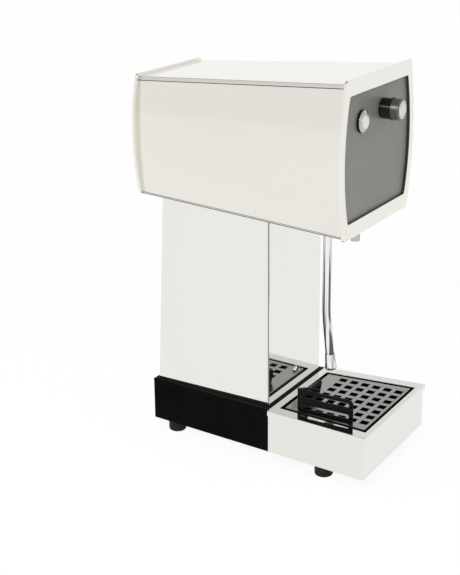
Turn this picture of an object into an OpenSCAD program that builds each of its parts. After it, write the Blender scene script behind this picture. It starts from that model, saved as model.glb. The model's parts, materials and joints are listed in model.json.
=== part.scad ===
// Counter-top milk steamer: a tapered steel head on a column, over a drip tray.
// Millimetres, +Z up, front towards -Y, origin under the middle of the footprint.

/* [Head] */
// Width of the front frame across its corners
head_w = 169; // [150:1:200]
// Height of the front frame
head_h = 175; // [150:1:210]
// Depth of the head from front face to rear face
head_d = 278; // [240:1:330]
// How far each side of a frame bows out at its waist
head_bow = 13; // [8:0.5:18]
// Rear frame size as a share of the front frame
head_taper = 0.82; // [0.75:0.01:0.92]
// Thickness of the frame plates
frame_t = 3.5; // [2.5:0.5:5]
// Corner radius of the frames
frame_r = 5; // [2:0.5:8]
// Border of the front frame at its waist
border_side = 11.5; // [10:0.5:16]
// Border of the front frame at its top and bottom
border_end = 18; // [12:1:26]
// How far each side of the frame's opening bows out
opening_bow = 10; // [6:0.5:12]
// Corner radius of the frame's opening
opening_r = 3; // [1:0.5:6]
// Step from the frame's edge in to the panels
skin_step = 4; // [2:0.5:6]
// How far each side panel bows out at its waist
skin_bow = 9.5; // [8:0.5:12]
// Height of the top cover's folded edge
cover_edge = 5; // [3:0.5:9]
// Thickness of the head's floor
floor_t = 2; // [1.5:0.5:3]

/* [Sheet metal] */
// Thickness of the panels and walls
skin_t = 1.5; // [1:0.1:2.5]
// Thickness of the front and rear panels
panel_t = 2; // [1.5:0.5:3]
// How far the front panel reaches behind the frame at top and bottom
panel_lap = 5; // [3:0.5:8]
// Gap beside a sheet that is held at its other edges
sheet_gap = 0.5; // [0.3:0.1:1]

/* [Column] */
// Height from the tray's rim to the bottom of the front frame
column_h = 224.5; // [190:0.5:260]
// Width of the column at its front
column_w = 131; // [100:1:140]
// Width of the column at its rear
column_w_rear = 112; // [90:1:120]
// Distance from the head's front face to the column's front
column_set = 103; // [100:1:115]
// Depth of the column at its foot
column_d = 163; // [140:1:166]
// How far the column's rear wall leans forward at the top
column_lean = 13; // [0:1:25]
// Thickness of the column's front plate
column_plate_t = 3; // [2:0.5:5]

/* [Base and tray] */
// Height of the rubber feet
foot_h = 15.5; // [10:0.5:22]
// Diameter of the rubber feet
foot_d = 22; // [18:1:30]
// Rounding of the foot's lower edge
foot_r = 3; // [1:0.5:5]
// Distance of the front feet behind the head's front face
foot_front_set = 29; // [10:1:50]
// Distance of the rear feet ahead of the base's rear wall
foot_rear_set = 26; // [20:1:40]
// Distance of a foot's axis from the edge of the base
foot_side_set = 17; // [16:1:24]
// Height of the base from its underside to the tray's rim
base_h = 54.5; // [46:0.5:70]
// Width of the base at its front edge
base_w = 176; // [170:1:200]
// Width of the base at its rear edge
base_w_rear = 124; // [120:1:140]
// How far the base ends short of the head's rear face
base_back = 6; // [6:1:12]
// Thickness of the plate under the base
plate_t = 2.5; // [2:0.5:4]
// Thickness of the black lid and its rolled edge
lid_t = 4; // [3:0.5:6]
// How far the tray stands out ahead of the head's front face
reach = 33; // [20:1:50]
// Depth of the tray from its front edge to its rear edge
tray_d = 132.5; // [125:0.5:134]
// Sheet thickness of the tray's rim
rim_t = 1.2; // [0.8:0.1:1.6]
// Height of the rim's folded edge
rim_edge = 7; // [4:0.5:10]
// How far the rim stands out past the tray's walls
rim_over = 2; // [1.6:0.1:3]
// Width of the rim at its front
rim_front = 7; // [5:0.5:12]
// Width of the rim at its rear
rim_rear = 9.5; // [6:0.5:14]
// Width of the rim at its sides
rim_side = 15; // [12:0.5:20]
// Depth of the seat below the rim that carries the drip pan
seat_drop = 8; // [7:0.5:12]
// Width of that seat
seat_w = 4; // [3:0.5:6]

/* [Grille and guide] */
// Holes across the grille
hole_nx = 7; // [5:1:7]
// Holes along the grille
hole_ny = 6; // [4:1:6]
// Spacing of the holes across the grille
hole_px = 16.4; // [14:0.2:16.8]
// Spacing of the holes along the grille
hole_py = 14.9; // [13:0.1:15.2]
// Side of a square hole
hole_s = 9.5; // [6:0.5:11]
// Thickness of the grille's plate and of its edge
grille_t = 2; // [1.5:0.5:3]
// Distance from the grille's front edge to the first row of holes
grille_front = 3.8; // [3.2:0.1:7]
// Gap between the grille and the rim around it
grille_gap = 3.5; // [2:0.1:3.7]
// Depth of the grille's top below the rim
grille_drop = 0; // [0:0.5:3]
// Height of the jug guide's side arm
guide_h = 27.5; // [25:0.5:36]
// Length of the jug guide's side arm
guide_l = 73; // [60:1:78]
// Length of the jug guide's rear arm
guide_rear_l = 62; // [50:1:80]
// Height of the jug guide's rear arm
guide_rear_h = 17; // [12:0.5:22]
// Thickness of the jug guide
guide_t = 2.5; // [2:0.1:3]
// Distance from the grille's rear edge to the guide
guide_back = 19.5; // [18:0.5:21]
// Distance from the grille's side edge to the guide
guide_side = 3.5; // [0.5:0.5:3.5]
// Height of each slot in the guide's side arm
guide_slot = 5.5; // [4.5:0.5:7]
// Thickness of the drip pan
pan_t = 1.5; // [1:0.1:2.5]
// Room under the drip pan
pan_room = 2; // [1:0.5:6]

/* [Wand and spout] */
// Distance of the wand behind the head's front face
wand_set = 61.5; // [50:0.5:72]
// Outside diameter of the wand
wand_d = 10; // [8:0.5:12]
// Wall of the wand
wand_wall = 1.5; // [1:0.1:2]
// Height of the wand's tip above the tray's rim
wand_gap = 34.5; // [28:0.5:60]
// Length of the slanted lower stretch of the wand
wand_slant_l = 72; // [50:1:90]
// Slant of the lower stretch
wand_slant = 6; // [2:0.5:12]
// Diameter of the tip
tip_d = 14; // [13:0.5:18]
// Length of the tip
tip_l = 20; // [16:1:28]
// Distance of the spout behind the head's front face
spout_set = 26; // [20:0.5:32]
// Outside diameter of the spout
spout_d = 10; // [8:0.5:12]
// Length of the spout below the head's floor
spout_l = 29; // [18:0.5:36]

/* [Controls] */
// Distance of the button from the middle, to the left
button_x = 41; // [34:1:50]
// Height of the button above the middle of the head
button_z = 37.5; // [25:0.5:48]
// Diameter of the button's steel rim
button_d = 24.4; // [22:0.2:28]
// Thickness of the button's steel rim
button_t = 2.6; // [2.2:0.1:4]
// Diameter of the button's cap inside its rim
button_cap_d = 16; // [15:0.2:17]
// Travel of the button
button_travel = 1.2; // [0.8:0.1:2]
// Distance of the knob from the middle, to the right
knob_x = 14; // [10:1:30]
// Height of the knob above the middle of the head
knob_z = 42.5; // [25:0.5:48]
// Diameter of the knob's black body
knob_d = 23.4; // [20:0.2:28]
// Length of the knob's black body
knob_body_l = 12; // [10:0.5:16]
// Length of the knob's steel cap
knob_cap_l = 10.5; // [8:0.5:14]
// Diameter of the knob's shaft
shaft_d = 6; // [4:0.5:7]

/* [Works inside] */
// Diameter of the boiler
boiler_d = 84; // [70:1:90]
// Length of the boiler
boiler_l = 134; // [110:1:140]
// Wall of the boiler
boiler_wall = 1.5; // [1:0.1:3]
// Outside diameter of the steam pipe
pipe_d = 8; // [6:0.5:10]
// Width of the valve's block
valve_w = 30; // [26:1:36]
// Height of the valve's block
valve_h = 34; // [30:1:44]
// Diameter of the pump
pump_d = 44; // [34:1:52]
// Height of the pump
pump_h = 84; // [60:1:110]
// Width of the control board
board_w = 110; // [80:1:120]
// Height of the control board
board_h = 66; // [50:1:70]

/* [Clearances] */
// Play around a shaft, stem or tube that turns or slides in its bore
run_play = 0.06; // [0.02:0.01:0.1]
// Gap between pieces that lift or press past each other
free_gap = 0.3; // [0.2:0.05:0.6]
// Play around a fixed piece in its hole
hole_play = 0.1; // [0.05:0.05:0.3]

/* [Hidden] */
$fn = 64;
// Facets of the wide bows
fine = 360;
// Longer than any piece, for cutting
far = 600;
// Overlap of a cut with the face that it breaks through
cut = 1;

steel = "#dcdcd8";
chrome = "#c8cacc";
black = "#1b1b1c";
grey = "#84847f";
rubber = "#222222";
brass = "#b59a56";
green = "#2f6b45";

// Places along the depth
y0 = -(reach + head_d) / 2;
yf = y0 + reach;
yr = yf + head_d;
yb = yr - base_back;
tray_end = y0 + tray_d;
lid_start = tray_end + free_gap;
column_y = yf + column_set;
column_back = column_y + column_d;
wand_y = yf + wand_set;
spout_y = yf + spout_set;
panel_y = yf + frame_t;

// Heights
base_top = foot_h + base_h;
head_z = base_top + column_h;
mid_z = head_z + head_h / 2;

// Bowed outlines of the head, as waist half-width and bow radius
skin_h = head_h - 2 * skin_step;
skin_half = head_w / 2 - skin_step;
frame_waist = head_w / 2 + head_bow;
opening_h = head_h - 2 * border_end;
opening_waist = frame_waist - border_side;
skin_waist = skin_half + skin_bow;
frame_bow_r = bow_radius(head_h, head_bow);
opening_bow_r = bow_radius(opening_h, opening_bow);
skin_bow_r = bow_radius(skin_h, skin_bow);

// The side panels lie on cones that share the point where the taper would end
apex_d = head_d / (1 - head_taper);
cone_tilt = atan((skin_bow_r - skin_waist) / apex_d);
cone_half = cone_tilt + atan(skin_waist / apex_d);
cone_l = 1.05 * apex_d;

// The base narrows evenly from front to rear
base_slope = (base_w_rear - base_w) / 2 / (yb - y0);
opening_y1 = y0 + rim_front;
opening_y2 = tray_end - rim_rear;
seat_z = base_top - seat_drop;
pan_floor_z = foot_h + plate_t + skin_t + pan_room;
flange_z = seat_z + free_gap;
grille_low = flange_z + pan_t + free_gap;
grille_top = base_top - grille_drop;
hole_y = opening_y1 + grille_gap + grille_front;
guide_x = base_half(opening_y2 - guide_back) - rim_side - grille_gap - guide_side;
guide_y = opening_y2 - guide_back;

// Inlets in the rear wall of the base
inlet = [27, 20, 20];
inlet_flange = [34, 2, 26];
inlet_socket = [22, 15, 15];
inlet_x = 26;
inlet_z = foot_h + base_h / 2;
union_d = 14;
union_l = 18;
union_hex_d = 22;
union_hex_t = 5;
union_bore_d = 8;

// Screws in the head's floor, the column's front plate and the feet
screw_d = 3;
screw_head_d = 7;
screw_head_t = 2;
screw_reach = 4;
screw_front_set = 40;
screw_rear_set = 16;
screw_side_set = 12;
plate_screw_z = base_top + 24;
plate_screw_d = 5;
plate_screw_l = 8;
plate_screw_head_d = 11.5;
plate_screw_head_t = 3.2;
plate_screw_key = 4;
foot_screw_d = 4;
foot_screw_head_d = 8;
foot_screw_head_t = 3;
foot_bore_d = 11;
foot_web = 5;

// The wand hangs from a union under the floor and leans forward below its bend
socket_d = 22;
socket_l = 14;
socket_stem_d = 15;
union_z = head_low(wand_y);
valve_z = union_z + floor_t + valve_h;
stem_rise = 8;
stem_top = union_z + floor_t + stem_rise;
tip_z = base_top + wand_gap;
bend_z = tip_z + wand_slant_l * cos(wand_slant);

// Controls: the cap stands off its bezel by the travel and a gap
bezel_t = 2.9;
bezel_over = 0.2;
rim_lip = 0.6;
cap_proud = 0.3;
bezel_bush_d = 19;
bezel_bush_l = 9;
button_stem_d = 14;
button_chamfer = 3;
switch_l = 24;
switch_floor = 6;
stem_short = 2;
cap_y = panel_y - bezel_t - button_travel - free_gap;
bush_d = 9;
bush_l = 5;
encoder_s = 20;
encoder_l = 11;
encoder_floor = 3;
shaft_room = 1;
knob_web = 2;
knob_gap = 0.6;
ring_t = 1.3;
ring_over = 1.3;
cap_over = 0.3;
knob_chamfer = 1.8;
knob_face = knob_gap + knob_body_l;

// Works: the boiler lies level, high enough for the pipe's bend over the valve
pipe_bend = 16;
pipe_drop = 14;
boiler_set = 112;
boiler_y = yf + boiler_set;
boiler_z = valve_z + pipe_drop + pipe_bend;
dome_r = boiler_d * 0.95;
saddle_t = 6;
saddle_w = 70;
post_l = 8;
post_d = 6;
board_t = 1.6;
board_drop = 30;
relay_w = 16;
relay_l = 14;
relay_h = 20;
relay_pitch = 28;
board_z = mid_z - board_drop;
coil_l = 34;
coil_step = 2;
pump_foot_t = 3;
pump_foot_over = 6;
pump_port_d = 10;
pump_port_l = 14;

function bow_radius(h, bow) = (h * h / 4 + bow * bow) / (2 * bow);
function shrink(y) = 1 - (1 - head_taper) * (y - yf) / head_d;
function head_low(y) = mid_z - skin_h / 2 * shrink(y);
function head_top(y) = mid_z + skin_h / 2 * shrink(y);
function base_half(y) = base_w / 2 + base_slope * (y - y0);
function side_step(inset) = inset * sqrt(1 + base_slope * base_slope);

// Outline with flat top and bottom and sides that bow out to the waist
module bowed(waist, r, h, corner = 0) {
  difference() {
    intersection() {
      square([2 * waist, h], center = true);
      translate([waist - r, 0]) circle(r, $fn = fine);
      translate([r - waist, 0]) circle(r, $fn = fine);
    }
    if (corner > 0)
      for (right = [0, 1], up = [0, 1])
        mirror([right, 0]) mirror([0, up]) bowed_corner(waist, r, h, corner);
  }
}

// What a corner radius takes off a bowed outline
module bowed_corner(waist, r, h, corner) {
  middle = [waist - r, 0];
  centre = middle + [sqrt(pow(r - corner, 2) - pow(h / 2 - corner, 2)), h / 2 - corner];
  out = (centre - middle) / norm(centre - middle);
  difference() {
    polygon([centre, [centre.x, h / 2 + cut], [waist + cut, h / 2 + cut], centre + out * (corner + cut)]);
    translate(centre) circle(corner);
  }
}

// Plate in the XZ plane, from y towards the rear
module upright(y, z, t) {
  translate([0, y + t, z]) rotate([90, 0, 0]) linear_extrude(t) children();
}

// Outline in the YZ plane, carried across the whole width
module across(points) {
  rotate([90, 0, 90]) linear_extrude(far, center = true) polygon(points);
}

// Tapered plan between two depths, from z1 up to z2
module plan(y1, half1, y2, half2, z1, z2) {
  translate([0, 0, z1]) linear_extrude(z2 - z1)
    polygon([[-half1, y1], [half1, y1], [half2, y2], [-half2, y2]]);
}

// Base plan drawn in from its side, front and rear edges
module base_plan(y1, y2, side, z1, z2) {
  plan(y1, base_half(y1) - side_step(side), y2, base_half(y2) - side_step(side), z1, z2);
}

// Head plan drawn in from its side edges
module head_plan(inset) {
  plan(yf, skin_half - inset, yr, skin_half * head_taper - inset, head_z - far, head_z + far);
}

// Space between two planes that follow the head's floor
module floor_layer(rise1, rise2) {
  y1 = panel_y;
  y2 = yr - frame_t;
  across([
    [y1, head_low(y1) + rise1], [y2, head_low(y2) + rise1],
    [y2, head_low(y2) + rise2], [y1, head_low(y1) + rise2]
  ]);
}

// Cone that carries the bow of the right side panel, moved in by a wall
module bow_cone(inset) {
  translate([0, yf + apex_d, mid_z]) rotate([90, 0, -cone_tilt])
    translate([0, 0, inset / sin(cone_half)])
      cylinder(h = cone_l, r1 = 0, r2 = cone_l * tan(cone_half), $fn = fine);
}

// Frame plate with its bowed opening, at a share of the front frame's size
module frame_plate(y, share) {
  upright(y, mid_z, frame_t) difference() {
    bowed(frame_waist * share, frame_bow_r * share, head_h * share, frame_r * share);
    bowed(opening_waist * share, opening_bow_r * share, opening_h * share, opening_r * share);
  }
}

module front_frame() {
  color(steel) frame_plate(yf, 1);
}

module rear_frame() {
  color(steel) frame_plate(yr - frame_t, head_taper);
}

// Bowed and tapered panel between the frames
module side_panel_right() {
  y1 = panel_y;
  y2 = yr - frame_t;
  color(steel) intersection() {
    difference() {
      bow_cone(0);
      bow_cone(skin_t);
    }
    translate([far / 2, 0, 0]) across([
      [y1, head_low(y1)], [y2, head_low(y2)],
      [y2, head_top(y2) - cover_edge], [y1, head_top(y1) - cover_edge]
    ]);
  }
}

module side_panel_left() {
  mirror([1, 0, 0]) side_panel_right();
}

// Lid with folded edges that stand on the side panels
module top_cover() {
  y1 = panel_y;
  y2 = yr - frame_t;
  color(steel) difference() {
    intersection() {
      across([
        [y1, head_top(y1) - cover_edge], [y2, head_top(y2) - cover_edge],
        [y2, head_top(y2)], [y1, head_top(y1)]
      ]);
      head_plan(0);
    }
    intersection() {
      across([
        [yf, head_top(yf) - cover_edge - cut], [yr, head_top(yr) - cover_edge - cut],
        [yr, head_top(yr) - skin_t], [yf, head_top(yf) - skin_t]
      ]);
      head_plan(skin_t);
    }
  }
}

// Floor of the head, with the union, spout and cable holes
module head_floor() {
  cable = [44, 40];
  color(steel) difference() {
    intersection() {
      floor_layer(0, floor_t);
      head_plan(skin_t + sheet_gap);
    }
    translate([0, wand_y, head_z]) cylinder(h = far, d = socket_stem_d + 2 * hole_play, center = true);
    translate([0, spout_y, head_z]) cylinder(h = far, d = spout_d + 2 * hole_play, center = true);
    translate([-cable.x / 2, boiler_y + (boiler_l - cable.y) / 2, head_z - far / 2])
      cube([cable.x, cable.y, far]);
    at_floor_screws() cylinder(h = far, d = screw_d + 2 * hole_play, center = true);
  }
}

// Four screws that hold the floor, near its corners
module at_floor_screws() {
  for (y = [yf + screw_front_set, yr - screw_rear_set], side = [-1, 1])
    translate([side * (skin_half * shrink(y) - screw_side_set), y, head_low(y)]) children();
}

module floor_screws() {
  color(chrome) union() {
    intersection() {
      at_floor_screws() sphere(d = screw_head_d);
      floor_layer(-screw_head_t, 0);
    }
    intersection() {
      at_floor_screws() cylinder(h = 4 * screw_reach, d = screw_d, center = true);
      floor_layer(-screw_head_t / 2, floor_t + screw_reach);
    }
  }
}

// Grey panel behind the front frame's opening, bored for the two controls
module front_panel() {
  inset = skin_t + sheet_gap + free_gap;
  color(grey) difference() {
    upright(panel_y, mid_z, panel_t)
      bowed(skin_waist - inset, skin_bow_r - inset, opening_h + 2 * panel_lap);
    at_button() cylinder(h = far, d = bezel_bush_d + 2 * hole_play, center = true);
    at_knob() cylinder(h = far, d = bush_d + 2 * hole_play, center = true);
  }
}

// Rear panel with a row of vent slots
module rear_panel() {
  y = yr - frame_t - panel_t;
  inset = skin_t + sheet_gap + free_gap;
  slot = [56, 4];
  pitch = 10;
  count = 6;
  color(steel) upright(y, mid_z, panel_t) difference() {
    bowed(
      skin_waist * head_taper - inset, skin_bow_r * head_taper - inset,
      opening_h * head_taper + 2 * panel_lap
    );
    for (i = [0 : count - 1])
      translate([-slot.x / 2, (i - (count - 1) / 2) * pitch - slot.y / 2]) square(slot);
  }
}

// Frames at the controls: z runs out of the panel's front face
module at_button() {
  translate([-button_x, panel_y, mid_z + button_z]) rotate([90, 0, 0]) children();
}

module at_knob() {
  translate([knob_x, panel_y, mid_z + knob_z]) rotate([90, 0, 0]) children();
}

// Black ring on the panel with a bush through it
module button_bezel() {
  color(black) at_button() difference() {
    union() {
      cylinder(h = bezel_t, d = button_d + 2 * bezel_over);
      translate([0, 0, -bezel_bush_l]) cylinder(h = bezel_bush_l, d = bezel_bush_d);
    }
    translate([0, 0, -bezel_bush_l - cut])
      cylinder(h = bezel_bush_l + bezel_t + 2 * cut, d = button_stem_d + 2 * run_play);
  }
}

// Switch body on the back of the panel, round the bush
module button_switch() {
  color(black) at_button() translate([0, 0, -panel_t - switch_l]) difference() {
    cylinder(h = switch_l, d = button_d);
    translate([0, 0, switch_floor]) cylinder(h = switch_l, d = bezel_bush_d + 2 * hole_play);
  }
}

// Steel rim with a wide chamfer, fixed on the bezel
module button_rim() {
  color(steel) at_button() translate([0, 0, bezel_t]) difference() {
    union() {
      cylinder(h = rim_lip, d = button_d);
      translate([0, 0, rim_lip])
        cylinder(h = button_t - rim_lip, d1 = button_d, d2 = button_d - 2 * button_chamfer);
    }
    translate([0, 0, -cut]) cylinder(h = button_t + 2 * cut, d = button_cap_d + 2 * free_gap);
  }
}

// Steel cap inside the rim, a little proud of it, with a softened edge
module button_cap() {
  thick = button_t + cap_proud - button_travel - free_gap;
  soft = cap_proud;
  color(steel) translate([-button_x, cap_y, mid_z + button_z]) rotate([90, 0, 0]) {
    cylinder(h = thick - soft, d = button_cap_d);
    translate([0, 0, thick - soft]) cylinder(h = soft, d1 = button_cap_d, d2 = button_cap_d - 2 * soft);
  }
}

// Plunger under the cap, sliding in the bezel
module button_stem() {
  depth = panel_y + bezel_bush_l - cap_y - stem_short;
  color(black) translate([-button_x, cap_y, mid_z + button_z]) rotate([-90, 0, 0])
    cylinder(h = depth, d = button_stem_d);
}

// Encoder on the back of the panel, its bush through the panel
module knob_encoder() {
  color(grey) at_knob() difference() {
    union() {
      translate([-encoder_s / 2, -encoder_s / 2, -panel_t - encoder_l])
        cube([encoder_s, encoder_s, encoder_l]);
      translate([0, 0, -panel_t]) cylinder(h = panel_t + bush_l, d = bush_d);
    }
    translate([0, 0, encoder_floor - panel_t - encoder_l]) cylinder(h = far, d = shaft_d + 2 * run_play);
  }
}

module knob_shaft() {
  start = encoder_floor + shaft_room - panel_t - encoder_l;
  color(chrome) at_knob() translate([0, 0, start])
    cylinder(h = knob_face - knob_web - start, d = shaft_d);
}

// Black body, hollow at the back to clear the bush
module knob_body() {
  color(black) at_knob() difference() {
    translate([0, 0, knob_gap]) cylinder(h = knob_body_l, d = knob_d);
    translate([0, 0, knob_gap - cut]) cylinder(h = bush_l + cut, d = bush_d + 4 * free_gap);
    cylinder(h = knob_face - knob_web, d = shaft_d);
  }
}

module knob_ring() {
  color(black) at_knob() translate([0, 0, knob_face]) cylinder(h = ring_t, d = knob_d + 2 * ring_over);
}

// Turned steel cap with a chamfered rim
module knob_cap() {
  d = knob_d + 2 * cap_over;
  color(steel) at_knob() translate([0, 0, knob_face + ring_t]) {
    cylinder(h = knob_cap_l - knob_chamfer, d = d);
    translate([0, 0, knob_cap_l - knob_chamfer])
      cylinder(h = knob_chamfer, d1 = d, d2 = d - 2 * knob_chamfer);
  }
}

// Board on short posts behind the lower half of the front panel
module control_board() {
  y = panel_y + panel_t + post_l;
  color(green) translate([-board_w / 2, y, board_z - board_h / 2]) cube([board_w, board_t, board_h]);
  color(green) for (i = [-1, 0, 1])
    translate([i * relay_pitch - relay_w / 2, y + board_t, board_z - relay_h / 2])
      cube([relay_w, relay_l, relay_h]);
}

module board_posts() {
  edge = 5;
  color(chrome) for (sx = [-1, 1], sz = [-1, 1])
    translate([sx * (board_w / 2 - edge), panel_y + panel_t, board_z + sz * (board_h / 2 - edge)])
      rotate([-90, 0, 0]) cylinder(h = post_l, d = post_d);
}

// Half section of the boiler's shell, drawn in by a wall
module boiler_half(inset) {
  intersection() {
    translate([0, inset]) square([boiler_d / 2 - inset, boiler_l - 2 * inset]);
    translate([0, dome_r]) circle(dome_r - inset, $fn = fine);
    translate([0, boiler_l - dome_r]) circle(dome_r - inset, $fn = fine);
  }
}

module boiler() {
  color(chrome) translate([0, boiler_y, boiler_z]) rotate([-90, 0, 0]) rotate_extrude() difference() {
    boiler_half(0);
    boiler_half(boiler_wall);
  }
}

// Two cradles that stand on the floor
module boiler_saddles() {
  color(steel) intersection() {
    difference() {
      for (share = [0.25, 0.75])
        translate([-saddle_w / 2, boiler_y + boiler_l * share - saddle_t / 2, head_z])
          cube([saddle_w, saddle_t, boiler_z - boiler_d / 4 - head_z]);
      translate([0, boiler_y - cut, boiler_z]) rotate([-90, 0, 0])
        cylinder(h = boiler_l + 2 * cut, d = boiler_d);
    }
    floor_layer(floor_t, far);
  }
}

// Pipe from the boiler's end, bent down into the valve
module steam_pipe() {
  run = boiler_y - wand_y - pipe_bend;
  color(brass) translate([0, wand_y + pipe_bend, boiler_z]) {
    rotate([-90, 0, 0]) cylinder(h = run, d = pipe_d);
    translate([0, 0, -pipe_bend]) rotate([0, -90, 0]) rotate([0, 0, -90])
      rotate_extrude(angle = 90) translate([pipe_bend, 0]) circle(d = pipe_d);
    translate([0, -pipe_bend, valve_z - boiler_z]) cylinder(h = pipe_drop, d = pipe_d);
  }
}

// Brass block over the wand's union
module steam_valve() {
  color(brass) intersection() {
    difference() {
      translate([-valve_w / 2, wand_y - valve_w / 2, union_z - cut])
        cube([valve_w, valve_w, valve_z - union_z + cut]);
      translate([0, wand_y, union_z - 2 * cut])
        cylinder(h = stem_top - union_z + 2 * cut, d = socket_stem_d + 2 * hole_play);
    }
    floor_layer(floor_t, far);
  }
}

module valve_coil() {
  d = valve_w - 2 * coil_step;
  color(black) translate([valve_w / 2, wand_y, valve_z - valve_w / 2]) rotate([0, 90, 0])
    cylinder(h = coil_l, d = d);
}

// Union under the floor: a round nut with a stem up into the valve
module wand_socket() {
  color(chrome) difference() {
    union() {
      intersection() {
        translate([0, wand_y, union_z - socket_l]) cylinder(h = 2 * socket_l, d = socket_d);
        floor_layer(-far, 0);
      }
      translate([0, wand_y, union_z - socket_l / 2])
        cylinder(h = stem_top - union_z + socket_l / 2, d = socket_stem_d);
    }
    translate([0, wand_y, union_z - socket_l - cut]) cylinder(h = far, d = wand_d + 2 * run_play);
  }
}

// Short straight outlet with a collar against the floor
module water_spout() {
  z = head_low(spout_y);
  collar_d = spout_d + 8;
  collar_t = 4;
  inside = 6;
  color(chrome) difference() {
    union() {
      translate([0, spout_y, z - spout_l]) cylinder(h = spout_l + floor_t + inside, d = spout_d);
      intersection() {
        translate([0, spout_y, z - collar_t]) cylinder(h = 2 * collar_t, d = collar_d);
        floor_layer(-far, 0);
      }
    }
    translate([0, spout_y, z - spout_l - cut]) cylinder(h = spout_l, d = spout_d - 2 * wand_wall);
  }
}

// Frame at the wand's bend: the lower stretch runs along -Z from here
module below_bend() {
  translate([0, wand_y, bend_z]) rotate([-wand_slant, 0, 0]) children();
}

// Straight tube that leans forward below a mitred bend, bored in its upper stretch
module wand_tube() {
  over = wand_d;
  solid = 20;
  color(chrome) translate([0, wand_y, bend_z]) difference() {
    union() {
      intersection() {
        translate([0, 0, -over]) cylinder(h = stem_top - free_gap - bend_z + over, d = wand_d);
        rotate([-wand_slant / 2, 0, 0]) translate([-far / 2, -far / 2, 0]) cube(far);
      }
      intersection() {
        rotate([-wand_slant, 0, 0]) translate([0, 0, tip_l - wand_slant_l])
          cylinder(h = wand_slant_l - tip_l + over, d = wand_d);
        rotate([-wand_slant / 2, 0, 0]) translate([-far / 2, -far / 2, -far]) cube(far);
      }
    }
    translate([0, 0, solid]) cylinder(h = far, d = wand_d - 2 * wand_wall);
  }
}

// Flared tip with a rounded end and four steam holes
module wand_tip() {
  neck = wand_d / 2 + 0.9;
  neck_l = 4;
  wide = tip_d / 2;
  soft = 3;
  jet_d = 1.6;
  jet_l = 6;
  color(chrome) below_bend() translate([0, 0, -wand_slant_l]) difference() {
    rotate_extrude() union() {
      polygon([
        [0, 0], [wide - soft, 0], [wide - soft, soft], [wide, soft],
        [neck, tip_l - neck_l], [neck, tip_l], [0, tip_l]
      ]);
      intersection() {
        translate([wide - soft, soft]) circle(soft);
        square([wide, soft]);
      }
    }
    for (a = [45 : 90 : 315])
      rotate([0, 0, a]) translate([wide * 0.45, 0, -cut]) cylinder(h = jet_l + cut, d = jet_d);
  }
}

// Column: side walls and a leaning rear wall from one folded sheet
module column_body(inset, over) {
  y1 = column_y + column_plate_t - over;
  y2 = column_back - inset;
  top = y2 - column_lean;
  slope = (column_w_rear - column_w) / 2 / column_d;
  intersection() {
    across([
      [y1, base_top - over], [y2 + over * column_lean / column_h, base_top - over],
      [top, head_low(top) + over], [y1, head_low(y1) + over]
    ]);
    plan(
      column_y, column_w / 2 - inset, column_back, column_w / 2 + slope * column_d - inset,
      base_top - far, base_top + far
    );
  }
}

module column_shell() {
  color(steel) difference() {
    column_body(0, 0);
    column_body(skin_t, cut);
  }
}

// Polished plate across the front of the column
module column_front() {
  y1 = column_y;
  y2 = column_y + column_plate_t;
  color(steel) difference() {
    intersection() {
      across([[y1, base_top], [y2, base_top], [y2, head_low(y2)], [y1, head_low(y1)]]);
      translate([-column_w / 2, column_y - cut, base_top]) cube([column_w, column_plate_t + 2 * cut, far]);
    }
    at_plate_screw() cylinder(h = far / 10, d = plate_screw_d + 2 * hole_play, center = true);
  }
}

// Frame at the plate's screw: z runs out of the plate's front face
module at_plate_screw() {
  translate([0, column_y, plate_screw_z]) rotate([90, 0, 0]) children();
}

// Screw with a domed head and a key hole, through the foot of the front plate
module plate_screw() {
  dome_r = bow_radius(plate_screw_head_d, plate_screw_head_t);
  color(chrome) at_plate_screw() difference() {
    union() {
      intersection() {
        translate([0, 0, plate_screw_head_t - dome_r]) sphere(dome_r, $fn = 96);
        cylinder(h = 2 * plate_screw_head_t, d = 2 * plate_screw_head_d);
      }
      translate([0, 0, -plate_screw_l]) cylinder(h = plate_screw_l + cut, d = plate_screw_d);
    }
    translate([0, 0, plate_screw_head_t / 3])
      cylinder(h = plate_screw_head_t, d = plate_screw_key / cos(30), $fn = 6);
  }
}

// Rubber foot with a rounded lower edge and a counterbore for its screw
module foot_pad() {
  difference() {
    rotate_extrude() {
      square([foot_d / 2 - foot_r, foot_h]);
      translate([0, foot_r]) square([foot_d / 2, foot_h - foot_r]);
      translate([foot_d / 2 - foot_r, foot_r]) circle(foot_r);
    }
    translate([0, 0, -cut]) cylinder(h = foot_h - foot_web + cut, d = foot_bore_d);
    translate([0, 0, -cut]) cylinder(h = foot_h + 2 * cut, d = foot_screw_d + 2 * hole_play);
  }
}

module at_feet() {
  for (y = [yf + foot_front_set, yb - foot_rear_set], side = [-1, 1])
    translate([side * (base_half(y) - foot_side_set), y, 0]) children();
}

module foot_pads() {
  color(rubber) at_feet() foot_pad();
}

module foot_screws() {
  color(chrome) at_feet() {
    translate([0, 0, foot_h - foot_web - foot_screw_head_t])
      cylinder(h = foot_screw_head_t, d = foot_screw_head_d);
    translate([0, 0, foot_h - foot_web - cut]) cylinder(h = foot_web + cut + plate_t, d = foot_screw_d);
  }
}

// Plate that carries the feet, inside the walls of the base and tray
module base_plate() {
  inset = rim_over + skin_t + free_gap;
  color(black) difference() {
    base_plan(y0 + inset, yb - inset, inset, foot_h, foot_h + plate_t);
    at_feet() cylinder(h = far, d = foot_screw_d + 2 * hole_play);
  }
}

// Open box with a floor that rests on the base plate, which runs on under one end
module floored_box(y1, y2, top, under1, under2) {
  low = foot_h + plate_t;
  difference() {
    base_plan(y1, y2, rim_over, foot_h, top);
    base_plan(y1 + skin_t, y2 - skin_t, rim_over + skin_t, low + skin_t, top + cut);
    base_plan(under1, under2, rim_over + skin_t, foot_h - cut, low);
  }
}

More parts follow.
